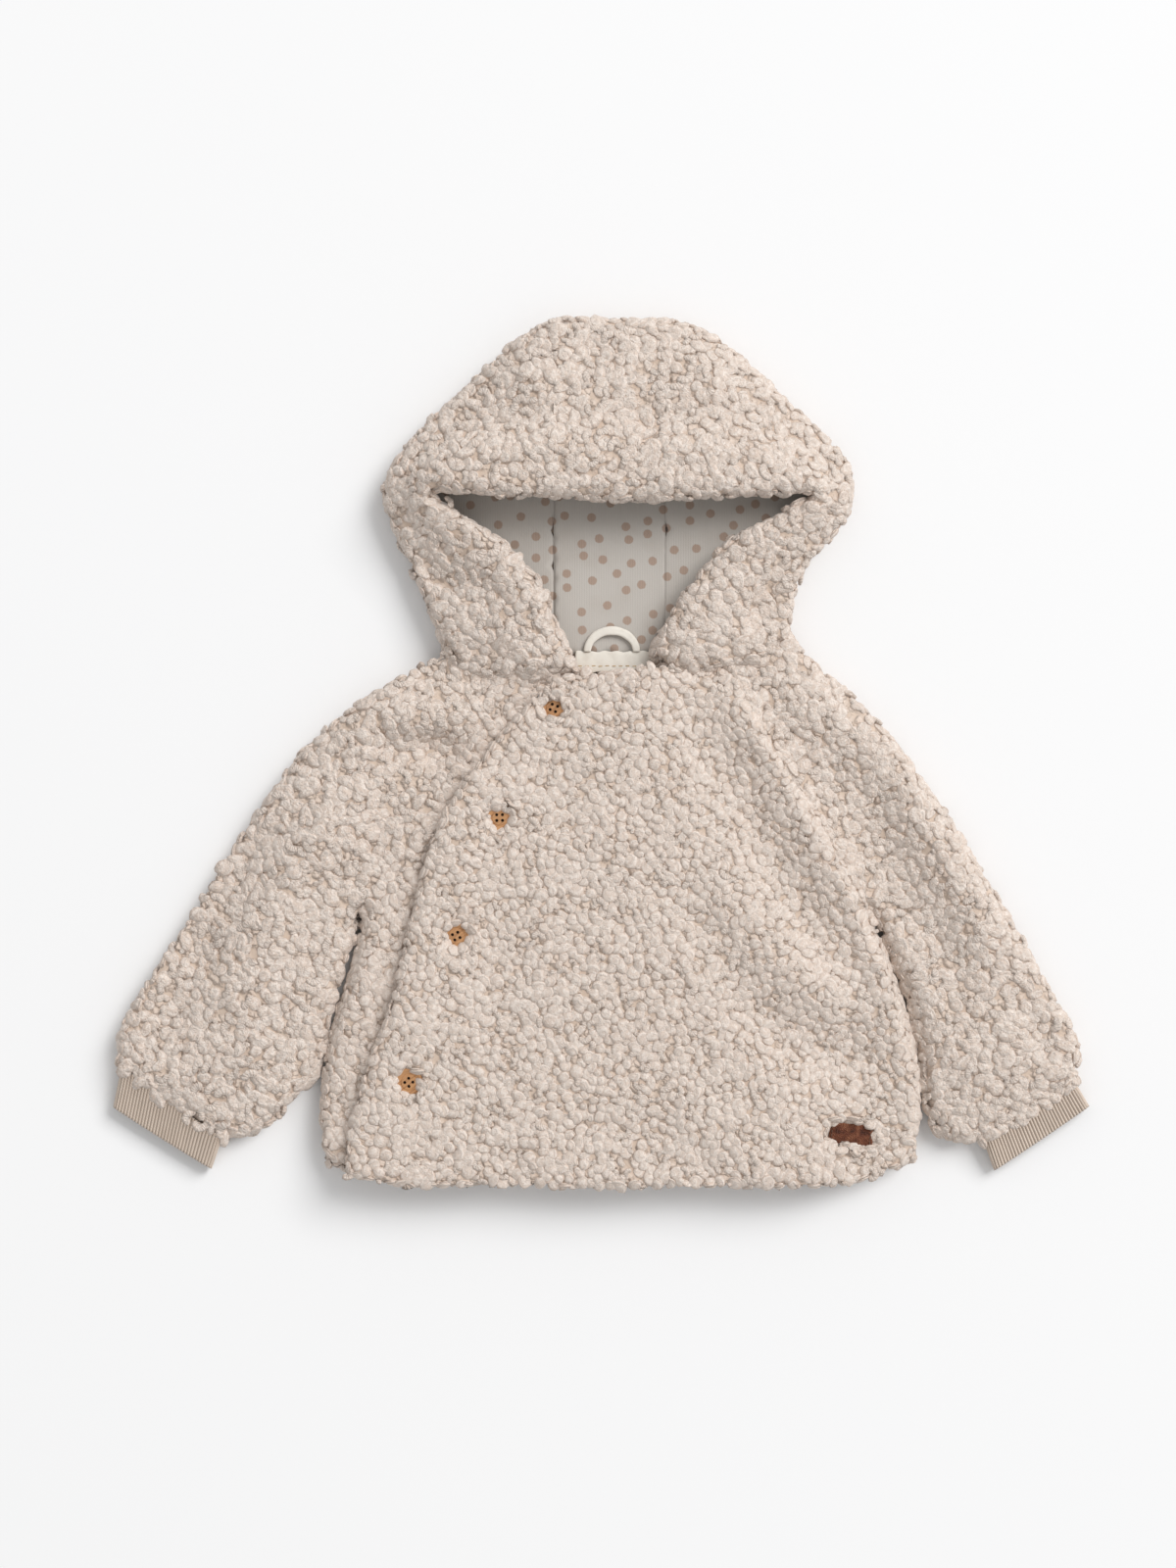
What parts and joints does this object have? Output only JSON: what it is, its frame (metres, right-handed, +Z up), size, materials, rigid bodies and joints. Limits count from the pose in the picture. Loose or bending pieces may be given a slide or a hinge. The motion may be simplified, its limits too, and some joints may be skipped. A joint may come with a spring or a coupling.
{
  "type": "hooded sherpa jacket",
  "caption": "Hooded wrap-front baby jacket in curly sherpa with a dotted jersey hood lining and rib cuffs, laid flat and face up.",
  "frame": {"origin": "middle of the outline, on the surface that the jacket lies on", "axes": "+X towards the wearer's left sleeve, +Y towards the hood, +Z up out of the front"},
  "size_m": [0.5344, 0.4754, 0.046],
  "materials": {
    "sherpa": "curly sherpa pile, warm cream beige, matt with a soft sheen",
    "rib_knit": "fine rib knit, taupe beige",
    "lining_jersey": "off-white jersey with small tan dots",
    "cream_tape": "cream cotton tape",
    "button_wood": "turned light wood, matt",
    "label_leather": "dark brown leather, bare"
  },
  "bodies": {
    "root": {"body_back": "sherpa", "front_right_under": "sherpa", "front_left_over": "sherpa", "sleeve_left": "sherpa", "sleeve_right": "sherpa", "cuff_left": "rib_knit", "cuff_right": "rib_knit", "hood_centre": "sherpa", "hood_side_left": "sherpa", "hood_side_right": "sherpa", "hood_lining_centre": "lining_jersey", "hood_lining_side_left": "lining_jersey", "hood_lining_side_right": "lining_jersey", "hanger_loop": "cream_tape", "neck_tape": "cream_tape", "button_1": "button_wood", "button_2": "button_wood", "button_3": "button_wood", "button_4": "button_wood", "label_leather": "label_leather"}
  },
  "joints": []
}
